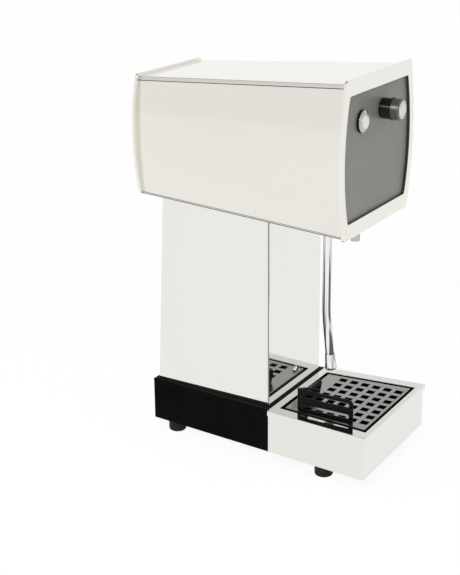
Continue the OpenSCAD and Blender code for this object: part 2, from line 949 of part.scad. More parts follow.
// Black base under the column, with cut-outs for the two inlets
module base_housing() {
  color(black) difference() {
    floored_box(lid_start, yb, base_top - lid_t, lid_start - cut, yb - skin_t);
    at_power() cube([inlet.x + 2 * hole_play, far / 10, inlet.z + 2 * hole_play], center = true);
    at_water() cylinder(h = far / 10, d = union_d + 2 * hole_play, center = true);
  }
}

module at_power() {
  translate([-inlet_x, yb, inlet_z]) children();
}

module at_water() {
  translate([inlet_x, yb, inlet_z]) rotate([90, 0, 0]) children();
}

// Appliance inlet: flange outside the rear wall, body inside, open to the rear
module power_inlet() {
  color(black) at_power() difference() {
    union() {
      translate([-inlet_flange.x / 2, 0, -inlet_flange.z / 2]) cube(inlet_flange);
      translate([-inlet.x / 2, -inlet.y, -inlet.z / 2]) cube(inlet);
    }
    translate([-inlet_socket.x / 2, inlet_flange.y - inlet_socket.y, -inlet_socket.z / 2])
      cube([inlet_socket.x, inlet_socket.y + cut, inlet_socket.z]);
  }
}

// Water union: hexagon against the rear wall and a stub inside
module water_inlet() {
  color(brass) at_water() difference() {
    union() {
      translate([0, 0, -union_hex_t]) cylinder(h = union_hex_t, d = union_hex_d, $fn = 6);
      cylinder(h = union_l, d = union_d);
    }
    translate([0, 0, -union_hex_t - cut]) cylinder(h = union_hex_t + union_l + 2 * cut, d = union_bore_d);
  }
}

// Lid of the base with a rolled edge along its sides and rear
module base_lid() {
  r = lid_t / 2;
  z = base_top - r;
  y2 = yb - r;
  turn = atan(base_slope);
  length = (y2 - lid_start) / cos(turn);
  color(black) union() {
    base_plan(lid_start, y2, r, base_top - lid_t, base_top);
    for (side = [0, 1]) mirror([side, 0, 0]) {
      translate([base_half(y2) - side_step(r), y2, z]) sphere(r);
      intersection() {
        translate([base_half(lid_start) - side_step(r), lid_start, z]) rotate([-90, 0, -turn])
          translate([0, 0, -lid_t]) cylinder(h = length + lid_t, r = r);
        translate([0, lid_start, base_top - lid_t]) cube([base_w, far, lid_t]);
      }
    }
    translate([side_step(r) - base_half(y2), y2, z]) rotate([0, 90, 0])
      cylinder(h = 2 * (base_half(y2) - side_step(r)), r = r);
  }
}

// Steel box of the tray
module tray_box() {
  front = y0 + rim_over;
  color(steel) floored_box(front, tray_end, base_top - rim_t, front + skin_t, tray_end + cut);
}

// Tapered opening of the rim, drawn in evenly
module rim_hole(inset, z1, z2) {
  base_plan(opening_y1 + inset, opening_y2 - inset, rim_side + inset, z1, z2);
}

// Rim with a folded outer edge, an inner wall and a seat for the drip pan
module tray_rim() {
  color(steel) difference() {
    union() {
      base_plan(y0, tray_end, 0, base_top - rim_t, base_top);
      difference() {
        base_plan(y0, tray_end, 0, base_top - rim_edge, base_top);
        base_plan(y0 + rim_t, tray_end + cut, rim_t, base_top - rim_edge - cut, base_top);
      }
      rim_hole(-rim_t, seat_z - rim_t, base_top);
    }
    rim_hole(0, seat_z, base_top + cut);
    rim_hole(seat_w, seat_z - rim_t - cut, base_top + cut);
  }
}

// Drip pan hanging by its flange on the rim's seat
module drip_pan() {
  wall = seat_w + free_gap;
  color(black) difference() {
    union() {
      rim_hole(free_gap, flange_z, flange_z + pan_t);
      rim_hole(wall, pan_floor_z, flange_z + pan_t);
    }
    rim_hole(wall + pan_t, pan_floor_z + pan_t, base_top);
  }
}

// Plate with square holes and an edge that stands on the pan's flange
module drip_grille() {
  color(black) difference() {
    rim_hole(grille_gap, grille_low, grille_top);
    rim_hole(grille_gap + grille_t, grille_low - cut, grille_top - grille_t);
    for (i = [0 : hole_nx - 1], j = [0 : hole_ny - 1])
      translate([(i - (hole_nx - 1) / 2) * hole_px - hole_s / 2, hole_y + j * hole_py, seat_z])
        cube([hole_s, hole_s, seat_drop + cut]);
  }
}

// Slot with round ends in the guide's side arm, from y1 to y2 at height z
module guide_hole(y1, y2, z) {
  r = guide_slot / 2;
  translate([y1 + r, z - r]) square([y2 - y1 - guide_slot, guide_slot]);
  for (y = [y1 + r, y2 - r]) translate([y, z]) circle(r);
}

// Side arm seen from the left: rounded at the front, with two long slots
module guide_side_outline() {
  r = 6;
  front_bar = 4.8;
  top_bar = 4.5;
  low_bar = 3.5;
  rear_bar = 4.5;
  difference() {
    union() {
      translate([r, 0]) square([guide_l - r, guide_h]);
      square([r, guide_h - r]);
      translate([r, guide_h - r]) circle(r);
    }
    for (z = [guide_h - top_bar - guide_slot / 2, low_bar + guide_slot / 2])
      guide_hole(front_bar, guide_l - rear_bar, z);
  }
}

// Rear arm seen from the front: it drops from the side arm to a low leaning end
module guide_rear_outline() {
  r = 5;
  lean = 25;
  drop_start = 0.05 * guide_rear_l;
  drop_end = 0.53 * guide_rear_l;
  centre = [guide_rear_l - r, guide_rear_h - r];
  tangent = centre + r * [cos(lean), -sin(lean)];
  translate(centre) circle(r);
  polygon([
    [0, 0], [tangent.x - tangent.y * tan(lean), 0], tangent, [centre.x, guide_rear_h],
    [drop_end, guide_rear_h], [drop_start, guide_h], [0, guide_h]
  ]);
}

// Guide that stops the jug at the left and rear, standing on the grille
module jug_guide() {
  color(black) union() {
    translate([-guide_x, guide_y - guide_l, grille_top]) rotate([90, 0, 90])
      linear_extrude(guide_t) guide_side_outline();
    translate([-guide_x, guide_y, grille_top]) rotate([90, 0, 0])
      linear_extrude(guide_t) guide_rear_outline();
  }
}

// Pump on the base's lid, inside the column
module pump() {
  y = column_y + column_d * 0.5;
  color(grey) translate([0, y, base_top]) {
    translate([-pump_d / 2 - pump_foot_over, -pump_d / 2, 0])
      cube([pump_d + 2 * pump_foot_over, pump_d, pump_foot_t]);
    translate([0, 0, pump_foot_t]) cylinder(h = pump_h, d = pump_d);
    translate([0, 0, pump_foot_t + pump_h]) cylinder(h = pump_port_l, d = pump_port_d);
  }
}

foot_pads();
foot_screws();
base_plate();
base_housing();
base_lid();
power_inlet();
water_inlet();
tray_box();
tray_rim();
column_shell();
column_front();
front_frame();
rear_frame();
side_panel_left();
side_panel_right();
top_cover();
head_floor();
floor_screws();
plate_screw();
front_panel();
rear_panel();
button_bezel();
button_rim();
button_switch();
knob_encoder();
control_board();
board_posts();
boiler();
boiler_saddles();
steam_pipe();
steam_valve();
valve_coil();
pump();
wand_socket();
water_spout();
drip_pan();
drip_grille();
jug_guide();
wand_tube();
wand_tip();
button_cap();
button_stem();
knob_body();
knob_ring();
knob_cap();
knob_shaft();
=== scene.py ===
import json
import math
import bmesh
import bpy
import numpy as np
from mathutils import Matrix, Vector


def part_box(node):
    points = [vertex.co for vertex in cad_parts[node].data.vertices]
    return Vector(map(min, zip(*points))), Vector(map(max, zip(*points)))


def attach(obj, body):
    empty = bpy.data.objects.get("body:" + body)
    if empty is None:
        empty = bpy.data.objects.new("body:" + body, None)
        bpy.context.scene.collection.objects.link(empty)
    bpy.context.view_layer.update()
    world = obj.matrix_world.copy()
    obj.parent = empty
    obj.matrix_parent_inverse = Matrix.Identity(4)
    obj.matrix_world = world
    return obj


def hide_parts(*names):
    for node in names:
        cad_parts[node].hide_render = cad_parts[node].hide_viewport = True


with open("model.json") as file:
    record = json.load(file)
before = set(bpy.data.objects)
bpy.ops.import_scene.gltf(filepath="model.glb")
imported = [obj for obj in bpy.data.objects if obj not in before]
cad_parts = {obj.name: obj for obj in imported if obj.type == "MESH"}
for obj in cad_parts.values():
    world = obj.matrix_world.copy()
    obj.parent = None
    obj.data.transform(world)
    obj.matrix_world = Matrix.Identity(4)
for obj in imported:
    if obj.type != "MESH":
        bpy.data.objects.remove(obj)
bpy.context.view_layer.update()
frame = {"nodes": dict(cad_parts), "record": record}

nodes = frame["nodes"]
record = frame["record"]
slotOf = {part["node"]: part["material_slot"] for part in record["subparts"]}
bodyOf = {node: body for body, members in record["behaviour"]["bodies"].items() for node in members}
mm = 0.001

# camera worked out from the edges of the photograph
cameraAt = {"place": (-1.2542, -0.6790, 0.6960), "yaw": 59.08, "pitch": 19.27, "roll": -0.58,
            "lens": 78.27, "sensor": 36}
yaw, pitch, roll = (math.radians(cameraAt[k]) for k in ("yaw", "pitch", "roll"))
ahead = Vector((math.sin(yaw) * math.cos(pitch), math.cos(yaw) * math.cos(pitch), -math.sin(pitch)))
right = Vector((math.cos(yaw), -math.sin(yaw), 0))
up = right.cross(ahead)
right, up = right * math.cos(roll) + up * math.sin(roll), up * math.cos(roll) - right * math.sin(roll)
lens = bpy.data.cameras.new("photoLens")
lens.sensor_width = cameraAt["sensor"]
lens.sensor_fit = "AUTO"
lens.lens = cameraAt["lens"]
camera = bpy.data.objects.new("photoCamera", lens)
camera.matrix_world = Matrix((
    (right.x, up.x, -ahead.x, cameraAt["place"][0]),
    (right.y, up.y, -ahead.y, cameraAt["place"][1]),
    (right.z, up.z, -ahead.z, cameraAt["place"][2]),
    (0, 0, 0, 1)))
bpy.context.scene.collection.objects.link(camera)
bpy.context.scene.camera = camera
bpy.context.scene.view_settings.view_transform = "Standard"
print("camera placed")


def spotsOf(mesh):  # all points of a mesh, in millimetres
    spots = np.empty(len(mesh.vertices) * 3, np.float32)
    mesh.vertices.foreach_get("co", spots)
    return spots.reshape(-1, 3) / mm


# node helpers for the finishes
def newLook(name, color, metallic, roughness, specular=0.5):
    mat = bpy.data.materials.new(name)
    mat.use_nodes = True
    tree = mat.node_tree
    shader = tree.nodes["Principled BSDF"]
    shader.inputs["Base Color"].default_value = (*color, 1)
    shader.inputs["Metallic"].default_value = metallic
    shader.inputs["Roughness"].default_value = roughness
    shader.inputs["Specular IOR Level"].default_value = specular
    return mat, tree, shader


def place(tree, stretch=(1, 1, 1), shift=(0, 0, 0)):  # object coordinates, moved and then stretched
    where = tree.nodes.new("ShaderNodeTexCoord")
    fit = tree.nodes.new("ShaderNodeMapping")
    fit.inputs["Scale"].default_value = stretch
    fit.inputs["Location"].default_value = tuple(-s * k for s, k in zip(shift, stretch))
    tree.links.new(where.outputs["Object"], fit.inputs["Vector"])
    return fit.outputs["Vector"]


def noise(tree, vector, scale, detail, rough=0.5):
    made = tree.nodes.new("ShaderNodeTexNoise")
    made.inputs["Scale"].default_value = scale
    made.inputs["Detail"].default_value = detail
    made.inputs["Roughness"].default_value = rough
    tree.links.new(vector, made.inputs["Vector"])
    return made.outputs["Fac"]


def span(tree, value, low, high, start=0.3, stop=0.7):  # value from start..stop to low..high
    made = tree.nodes.new("ShaderNodeMapRange")
    for name, number in (("From Min", start), ("From Max", stop), ("To Min", low), ("To Max", high)):
        made.inputs[name].default_value = number
    tree.links.new(value, made.inputs["Value"])
    return made.outputs["Result"]


def math2(tree, how, a, b=0.0):  # one Math node on two sockets or numbers
    made = tree.nodes.new("ShaderNodeMath")
    made.operation = how
    for socket, value in zip(made.inputs, (a, b)):
        if isinstance(value, (int, float)):
            socket.default_value = value
        else:
            tree.links.new(value, socket)
    return made.outputs["Value"]


mixSocket = {"one": 6, "two": 7, "result": 2}  # where a Mix node has its colors


def twoColors(tree, mask, one, two):  # each color is three numbers or a socket
    made = tree.nodes.new("ShaderNodeMix")
    made.data_type = "RGBA"
    for which, color in (("one", one), ("two", two)):
        socket = made.inputs[mixSocket[which]]
        if isinstance(color, tuple):
            socket.default_value = (*color, 1)
        else:
            tree.links.new(color, socket)
    tree.links.new(mask, made.inputs["Factor"])
    return made.outputs[mixSocket["result"]]


def split3(tree, vector):
    made = tree.nodes.new("ShaderNodeSeparateXYZ")
    tree.links.new(vector, made.inputs["Vector"])
    return made.outputs


def facing(tree):  # way a surface looks, in the piece's own frame
    return split3(tree, tree.nodes.new("ShaderNodeTexCoord").outputs["Normal"])


def bump(tree, shader, height, strength, depth):
    made = tree.nodes.new("ShaderNodeBump")
    made.inputs["Strength"].default_value = strength
    made.inputs["Distance"].default_value = depth
    tree.links.new(height, made.inputs["Height"])
    tree.links.new(made.outputs["Normal"], shader.inputs["Normal"])


sheetGrain = {"smear": 6.0, "smearDetail": 4.0, "hair": 700.0, "hairDetail": 2.0, "depth": 0.00002}


# polished sheet: faint wiping smears in colour and gloss, hair-fine grain along one axis
def sheetSteel(name, look, shadeMark=None, shadeColor=None):  # painted shade: the dark colour shows where the mark is 1
    mat, tree, shader = newLook(name, look["color"], metallic=1.0, roughness=0.1)
    smear = noise(tree, place(tree, look["smear"]), sheetGrain["smear"], sheetGrain["smearDetail"])
    hair = noise(tree, place(tree, look["grain"]), sheetGrain["hair"], sheetGrain["hairDetail"])
    tone = twoColors(tree, span(tree, smear, 0, 1), look["color"], look["shade"])
    if shadeMark:
        tone = twoColors(tree, shadeMark(tree), tone, shadeColor)
    tree.links.new(tone, shader.inputs["Base Color"])
    gloss = math2(tree, "ADD", span(tree, smear, *look["rough"]), span(tree, hair, 0.0, look["hair"]))
    tree.links.new(gloss, shader.inputs["Roughness"])
    bump(tree, shader, hair, look["bump"], sheetGrain["depth"])
    return mat


# turned-in edge along the foot of each side panel, in millimetres
hem = {"tall": 2.4, "thick": 1.2, "short": 0.15, "near": 0.05}
panelSpots = spotsOf(nodes["side_panel_left"].data)
hemEnds = []
for y in (panelSpots[:, 1].min(), panelSpots[:, 1].max()):
    end = panelSpots[np.abs(panelSpots[:, 1] - y) < hem["near"]]
    foot = end[:, 2].min()
    hemEnds.append((end[end[:, 2] < foot + hem["near"], 0].min(), y, foot))
hemFront, hemRear = np.array(hemEnds, float)
hemRise = float((hemRear - hemFront)[2] / (hemRear - hemFront)[1])
hemLevel = float(hemFront[2] - hemRise * hemFront[1])  # the foot's line is level + rise * y

# marks of painted shade, one where a sheet is painted darker than its face; each begins and ends at these
# slopes or metres
shadeMarkAt = {"headMiddle": (0, 0, 0.382), "inward": (-0.012, -0.03), "fold": (0.3, 0.7), "bend": (0.80, 0.97),
          "plateSide": (0.5, 0.7), "plateHalf": (-0.0181, -0.0178), "rimFoldShade": (0.0612, 0.0616),
          "panelEndShade": (-0.1180, -0.1176), "hemLowShade": (-0.0014, -0.0012), "hemHighShade": (-0.0006, -0.0004)}


# painted shade: the recessed walls of a frame's opening are painted dark
def openingWallShade(tree):  # walls of a frame's opening look towards its middle
    at, face = split3(tree, place(tree, shift=shadeMarkAt["headMiddle"])), facing(tree)
    across = math2(tree, "MULTIPLY", at["X"], face["X"])
    inward = math2(tree, "ADD", across, math2(tree, "MULTIPLY", at["Z"], face["Z"]))
    return span(tree, inward, 0, 1, *shadeMarkAt["inward"])


# painted shade: the top cover's folded edge is painted darker than its top
def foldedEdgeShade(tree):  # all that doesn't look up
    return span(tree, facing(tree)["Z"], 1, 0, *shadeMarkAt["fold"])


# painted shade: the grille's bend and hole walls are painted black, so only its flat top shows the grey
# sheen
def bentDownShade(tree):  # bend and holes, whatever turns from straight up
    return span(tree, facing(tree)["Z"], 1, 0, *shadeMarkAt["bend"])


# painted shade: the seam between the column's front plate and its shell
def plateSeamShade(tree):  # front half of the plate's two side faces
    at, face = split3(tree, place(tree)), facing(tree)
    side = span(tree, math2(tree, "ABSOLUTE", face["X"]), 0, 1, *shadeMarkAt["plateSide"])
    return math2(tree, "MULTIPLY", side, span(tree, at["Y"], 1, 0, *shadeMarkAt["plateHalf"]))


def rimFoldShade(tree):  # painted shade line at the foot of the rim's fold
    return span(tree, split3(tree, place(tree))["Z"], 1, 0, *shadeMarkAt["rimFoldShade"])


def panelEndShade(tree):  # painted shade of the gap at a side panel's front end, behind the front frame
    return span(tree, split3(tree, place(tree))["Y"], 1, 0, *shadeMarkAt["panelEndShade"])


def hemShadeLines(tree):  # painted shade lines above and below, on a strip that rises towards the rear
    at = split3(tree, place(tree))
    height = math2(tree, "SUBTRACT", at["Z"], math2(tree, "MULTIPLY", at["Y"], hemRise))
    off = math2(tree, "SUBTRACT", height, hemLevel * mm)
    low = span(tree, off, 1, 0, *shadeMarkAt["hemLowShade"])
    return math2(tree, "MAXIMUM", low, span(tree, off, 0, 1, *shadeMarkAt["hemHighShade"]))


headSheet = {"color": (0.852, 0.834, 0.780), "shade": (0.832, 0.814, 0.757), "smear": (1.0, 0.35, 1.0),
             "grain": (1.0, 0.02, 1.0), "rough": (0.07, 0.13), "hair": 0.05, "bump": 0.06}
sideSheet = dict(headSheet, color=(0.822, 0.804, 0.752), shade=(0.802, 0.784, 0.729))
columnSheet = {"color": (0.825, 0.82, 0.785), "shade": (0.805, 0.80, 0.762), "smear": (1.0, 1.0, 0.3),
               "grain": (1.0, 1.0, 0.02), "rough": (0.03, 0.06), "hair": 0.02, "bump": 0.02}
traySheet = {"color": (0.802, 0.791, 0.754), "shade": (0.788, 0.774, 0.735), "smear": (0.5, 1.0, 1.0),
             "grain": (0.02, 1.0, 1.0), "rough": (0.03, 0.07), "hair": 0.03, "bump": 0.03}
grilleSheet = {"color": (0.36, 0.36, 0.345), "shade": (0.31, 0.31, 0.30), "smear": (1.0, 0.6, 1.0),
               "grain": (1.0, 0.03, 1.0), "rough": (0.16, 0.24), "hair": 0.05, "bump": 0.06}
plainSheet = {"color": (0.62, 0.61, 0.59), "shade": (0.54, 0.53, 0.51), "smear": (1.0, 1.0, 1.0),
              "grain": (0.03, 1.0, 1.0), "rough": (0.24, 0.34), "hair": 0.10, "bump": 0.15}

ringGrain = {"pitch": 1800.0, "detail": 2.0, "rough": 0.7, "flankShade": (0.86, 0.97), "depth": 0.00006}


# turned metal: rings about an axis along y, polished on the face, with painted shade in the flank's darker
# colour
def turnedSteel(name, look):
    mat, tree, shader = newLook(name, look["color"], metallic=1.0, roughness=0.2)
    shader.inputs["Anisotropic"].default_value = look["spread"]
    fromCentre = place(tree, shift=look["axis"])
    along = tree.nodes.new("ShaderNodeVectorTransform")  # gloss spreads across the rings
    along.vector_type = "VECTOR"
    along.convert_from, along.convert_to = "OBJECT", "WORLD"
    tree.links.new(fromCentre, along.inputs["Vector"])
    tree.links.new(along.outputs["Vector"], shader.inputs["Tangent"])
    at = split3(tree, fromCentre)
    wide, tall = (math2(tree, "POWER", at[axis], 2.0) for axis in ("X", "Z"))
    both = tree.nodes.new("ShaderNodeCombineXYZ")
    tree.links.new(math2(tree, "SQRT", math2(tree, "ADD", wide, tall)), both.inputs["X"])
    tree.links.new(at["Y"], both.inputs["Y"])
    rings = noise(tree, both.outputs["Vector"], ringGrain["pitch"], ringGrain["detail"], ringGrain["rough"])
    tone = twoColors(tree, span(tree, rings, 0, 1), look["color"], look["shade"])
    # the flank's darker colour is painted shade
    flankShade = span(tree, math2(tree, "ABSOLUTE", facing(tree)["Y"]), 1, 0, *ringGrain["flankShade"])
    tree.links.new(twoColors(tree, flankShade, tone, look["flankShade"]), shader.inputs["Base Color"])
    tree.links.new(span(tree, rings, *look["rough"]), shader.inputs["Roughness"])
    bump(tree, shader, rings, look["bump"], ringGrain["depth"])
    return mat


knobMetal = {"color": (0.84, 0.825, 0.78), "shade": (0.72, 0.705, 0.66), "flankShade": (0.175, 0.168, 0.152),
             "axis": (0.014, -0.119, 0.4245), "rough": (0.44, 0.52), "bump": 0.10, "spread": 0.8}
knobBlack = {"color": (0.034, 0.034, 0.032), "shade": (0.024, 0.024, 0.022), "flankShade": (0.038, 0.038, 0.036),
             "axis": (0.014, -0.119, 0.4245), "rough": (0.27, 0.31), "bump": 0.05, "spread": 1.0}
buttonMetal = {"color": (0.78, 0.77, 0.73), "shade": (0.68, 0.67, 0.63), "flankShade": (0.50, 0.49, 0.46),
               "axis": (-0.041, -0.119, 0.4195), "rough": (0.12, 0.20), "bump": 0.12, "spread": 0.5}

platingGrain = {"marks": 60.0, "marksDetail": 5.0, "marksRough": 0.6, "marksSpan": (0.4, 0.8),
                "fine": 900.0, "fineDetail": 2.0, "fineGloss": 0.02, "streakDetail": 1.0,
                "streakSpan": (0.45, 0.54), "bump": 0.02, "depth": 0.00002}


# plating: almost a mirror, with long streaks, thin scratches and dull water marks; on chrome the dark
# streaks are painted reflection of a darker room, on brass they are streaks in its tone
def plating(name, look):
    grain = platingGrain
    mat, tree, shader = newLook(name, look["color"], metallic=1.0, roughness=0.05)
    shader.inputs["Specular Tint"].default_value = (look["rim"],) * 3 + (1,)
    marks = noise(tree, place(tree), grain["marks"], grain["marksDetail"], grain["marksRough"])
    fine = noise(tree, place(tree, look["grain"]), grain["fine"], grain["fineDetail"])
    polishAndReflectionStreak = noise(tree, place(tree, look["grain"], look["shift"]), look["streaks"], grain["streakDetail"])
    tone = twoColors(tree, span(tree, polishAndReflectionStreak, 0, 1, *grain["streakSpan"]), look["color"], look["shade"])
    tree.links.new(tone, shader.inputs["Base Color"])
    dull = span(tree, marks, *look["rough"], *grain["marksSpan"])
    gloss = math2(tree, "ADD", dull, span(tree, fine, 0.0, grain["fineGloss"]))
    tree.links.new(gloss, shader.inputs["Roughness"])
    bump(tree, shader, fine, grain["bump"], grain["depth"])
    return mat


# the dark streak colour of the chrome is painted reflection; the tip and spout get lighter painted
# reflection streaks
chromeReflectionStreaks = {"color": (0.85, 0.85, 0.84), "shade": (0.11, 0.11, 0.11), "grain": (1.0, 1.0, 0.015),
               "streaks": 330.0, "shift": (0, 0.0015, 0), "rough": (0.02, 0.06), "rim": 0.2}
tipReflectionStreaks = dict(chromeReflectionStreaks, shade=(0.50, 0.50, 0.49))
brassBare = {"color": (0.62, 0.45, 0.19), "shade": (0.46, 0.31, 0.12), "grain": (1.0, 0.05, 1.0),
             "streaks": 300.0, "shift": (0, 0, 0), "rough": (0.18, 0.40), "rim": 1.0}

skinGrain = {"toneDetail": 4.0, "skinDetail": 3.0, "skinRough": 0.6}


# paint and plastic: a fine skin texture, slow changes of tone and gloss
def skinned(name, look):
    mat, tree, shader = newLook(name, look["color"], metallic=0.0, roughness=0.3, specular=look["specular"])
    slow = noise(tree, place(tree), look["tone"], skinGrain["toneDetail"])
    skin = noise(tree, place(tree), look["skin"], skinGrain["skinDetail"], skinGrain["skinRough"])
    tone = twoColors(tree, span(tree, slow, 0, 1), look["color"], look["shade"])
    tree.links.new(tone, shader.inputs["Base Color"])
    tree.links.new(span(tree, slow, *look["rough"]), shader.inputs["Roughness"])
    bump(tree, shader, skin, look["bump"], look["depth"])
    return mat


greyPaint = {"color": (0.192, 0.192, 0.176), "shade": (0.176, 0.176, 0.161), "tone": 14.0, "skin": 1500.0,
             "rough": (0.34, 0.42), "bump": 0.10, "depth": 0.00005, "specular": 0.45}
blackPaint = {"color": (0.0022, 0.0022, 0.0024), "shade": (0.0038, 0.0038, 0.0040), "tone": 30.0,
              "skin": 900.0, "rough": (0.22, 0.32), "bump": 0.06, "depth": 0.00005, "specular": 0.015}
guideGloss = {"color": (0.0030, 0.0030, 0.0032), "shade": (0.0050, 0.0050, 0.0052), "tone": 40.0,
              "skin": 1100.0, "rough": (0.10, 0.17), "bump": 0.04, "depth": 0.00004, "specular": 0.08}
blackGloss = {"color": (0.004, 0.004, 0.004), "shade": (0.007, 0.007, 0.0065), "tone": 50.0, "skin": 1200.0,
              "rough": (0.08, 0.14), "bump": 0.04, "depth": 0.00003, "specular": 0.30}
greyPlastic = {"color": (0.25, 0.25, 0.25), "shade": (0.21, 0.21, 0.21), "tone": 30.0, "skin": 1800.0,
               "rough": (0.42, 0.56), "bump": 0.2, "depth": 0.00008, "specular": 0.4}
boardLacquer = {"color": (0.025, 0.13, 0.055), "shade": (0.035, 0.17, 0.075), "tone": 160.0, "skin": 600.0,
                "rough": (0.30, 0.45), "bump": 0.1, "depth": 0.00005, "specular": 0.5}
softRubber = {"color": (0.008, 0.008, 0.008), "shade": (0.014, 0.014, 0.0135), "tone": 90.0, "skin": 2200.0,
              "rough": (0.55, 0.70), "bump": 0.2, "depth": 0.0001, "specular": 0.15}

# finishes by slot, and then those of single pieces
looks = {
    "polished_steel": sheetSteel("headSteel", headSheet),
    "plain_steel": sheetSteel("plainSteel", plainSheet),
    "turned_steel": turnedSteel("knobSteel", knobMetal),
    "chrome": plating("chromeReflectionStreaks", chromeReflectionStreaks),
    "grey_paint": skinned("greyPaint", greyPaint),
    "black_paint": skinned("blackPaint", blackPaint),
    "black_plastic": skinned("blackGloss", blackGloss),
    "grey_plastic": skinned("greyPlastic", greyPlastic),
    "board": skinned("boardLacquer", boardLacquer),
    "brass": plating("bareBrass", brassBare),
    "rubber": skinned("footRubber", softRubber),
}
buttonSteel = turnedSteel("buttonSteel", buttonMetal)
tipChrome = plating("tipReflectionStreaks", tipReflectionStreaks)
# the frame's opening walls carry painted shade
frameSteel = sheetSteel("frameSteel", headSheet, shadeMark=openingWallShade, shadeColor=(0.12, 0.12, 0.112))
# the side panels' front ends carry painted shade
sideSteel = sheetSteel("sideSteel", sideSheet, shadeMark=panelEndShade, shadeColor=(0.20, 0.20, 0.188))
# the hem carries painted shade lines
hemSteel = sheetSteel("hemSteel", sideSheet, shadeMark=hemShadeLines, shadeColor=(0.10, 0.10, 0.094))
ownLook = {
    "column_shell": sheetSteel("columnSteel", columnSheet),
    # the front plate's side faces carry painted shade of the seam
    "column_front": sheetSteel("plateSteel", columnSheet, shadeMark=plateSeamShade, shadeColor=(0.25, 0.25, 0.24)),
    "tray_box": sheetSteel("traySteel", traySheet),
    # the rim carries a painted shade line at the foot of its fold
    "tray_rim": sheetSteel("rimSteel", traySheet, shadeMark=rimFoldShade, shadeColor=(0.42, 0.41, 0.39)),
    # the grille's bend and holes carry painted shade
    "drip_grille": sheetSteel("grilleSteel", grilleSheet, shadeMark=bentDownShade, shadeColor=(0.008, 0.008, 0.008)),
    # the cover's folded edge carries painted shade
    "top_cover": sheetSteel("coverSteel", sideSheet, shadeMark=foldedEdgeShade, shadeColor=(0.64, 0.625, 0.585)),
    "jug_guide": skinned("guideGloss", guideGloss),
    "knob_body": turnedSteel("knobBlack", knobBlack),
    "wand_tip": tipChrome, "water_spout": tipChrome,
    "button_rim": buttonSteel, "button_cap": buttonSteel, "button_bezel": looks["rubber"],
    "front_frame": frameSteel, "rear_frame": frameSteel,
    "side_panel_left": sideSteel, "side_panel_right": sideSteel,
}
finishOf = {node: ownLook.get(node, looks[slot]) for node, slot in slotOf.items()}
for node, piece in nodes.items():
    for slot in piece.material_slots:
        slot.material = finishOf[node]
print("finishes set on", len(nodes), "pieces")


# a new piece stands for its node, on its body and in its finish
def settle(piece, node):
    piece.data.materials.clear()
    piece.data.materials.append(finishOf[node])
    bpy.context.scene.collection.objects.link(piece)
    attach(piece, bodyOf[node])
    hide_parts(node)
    return piece


joining = {"nodeGap": 2e-6, "flat": 0.03, "gridGap": 1e-6}  # gaps in metres, flat in degrees


# copy of a node with its triangles joined and its flat faces made whole
def joinedCopy(node):
    shape = bmesh.new()
    shape.from_mesh(nodes[node].data)
    bmesh.ops.remove_doubles(shape, verts=shape.verts, dist=joining["nodeGap"])
    flat = math.radians(joining["flat"])
    bmesh.ops.dissolve_limit(shape, angle_limit=flat, verts=shape.verts, edges=shape.edges)
    mesh = bpy.data.meshes.new(node + "Soft")
    shape.to_mesh(mesh)
    shape.free()
    mesh.shade_smooth()
    return bpy.data.objects.new(node + "Soft", mesh)


def bevel(piece, name, width, steps, method):
    soft = piece.modifiers.new(name, "BEVEL")
    soft.width = width * mm
    soft.segments = steps
    soft.limit_method = method
    soft.use_clamp_overlap = False
    return soft


# rounds the edges that turn by more than the given angle
def roundEdges(piece, width, steps, angle=35):
    bevel(piece, "edges", width, steps, "ANGLE").angle_limit = math.radians(angle)
    return piece


# rounds chosen edges: the choice is worked out for all edges at once from their two ends
def roundChosen(piece, width, steps, chosen):
    mesh = piece.data
    ends = np.empty(len(mesh.edges) * 2, np.int32)
    mesh.edges.foreach_get("vertices", ends)
    first, second = spotsOf(mesh)[ends.reshape(-1, 2)].transpose(1, 0, 2)
    weights = mesh.attributes.new("bevel_weight_edge", "FLOAT", "EDGE")
    weights.data.foreach_set("value", chosen(first, second).astype(np.float32))
    bevel(piece, "bend", width, steps, "WEIGHT")
    return piece


shading = {"weight": 100, "near": 0.01}


# wide faces set the shading, so flats stay flat beside a rounded edge
def flatShading(piece):
    flat = piece.modifiers.new("shading", "WEIGHTED_NORMAL")
    flat.mode = "FACE_AREA"
    flat.weight = shading["weight"]
    flat.thresh = shading["near"]
    return piece


# width in millimetres and steps of each sheet's or block's edge
edgeRounds = {
    "front_frame": (0.7, 3), "rear_frame": (0.7, 3), "top_cover": (0.9, 3), "side_panel_left": (0.3, 2),
    "side_panel_right": (0.3, 2), "head_floor": (0.3, 2), "front_panel": (0.3, 2), "rear_panel": (0.3, 2),
    "column_shell": (0.5, 3), "column_front": (0.4, 2), "tray_box": (0.5, 3), "tray_rim": (0.5, 3),
    "base_housing": (0.6, 3), "drip_pan": (0.4, 2), "power_inlet": (0.6, 3), "water_inlet": (0.5, 3),
    "wand_socket": (0.6, 3), "water_spout": (0.4, 3), "wand_tip": (0.25, 2), "button_bezel": (0.4, 3),
    "plate_screw": (0.2, 2), "floor_screws": (0.15, 2), "foot_pads": (0.4, 2),
}
for node, (width, steps) in edgeRounds.items():
    flatShading(roundEdges(settle(joinedCopy(node), node), width, steps))
print("edges rounded on", len(edgeRounds), "pieces")

# how near a line, an end or a side counts as on it, in millimetres
near = {"line": 0.01, "end": 0.02, "side": 0.05}

# grille: a wide bend round its rim, a thin break on each hole
grilleEdge = {"bend": 2.4, "bendSteps": 5, "hole": 0.25, "holeSteps": 2, "holeAngle": 50}


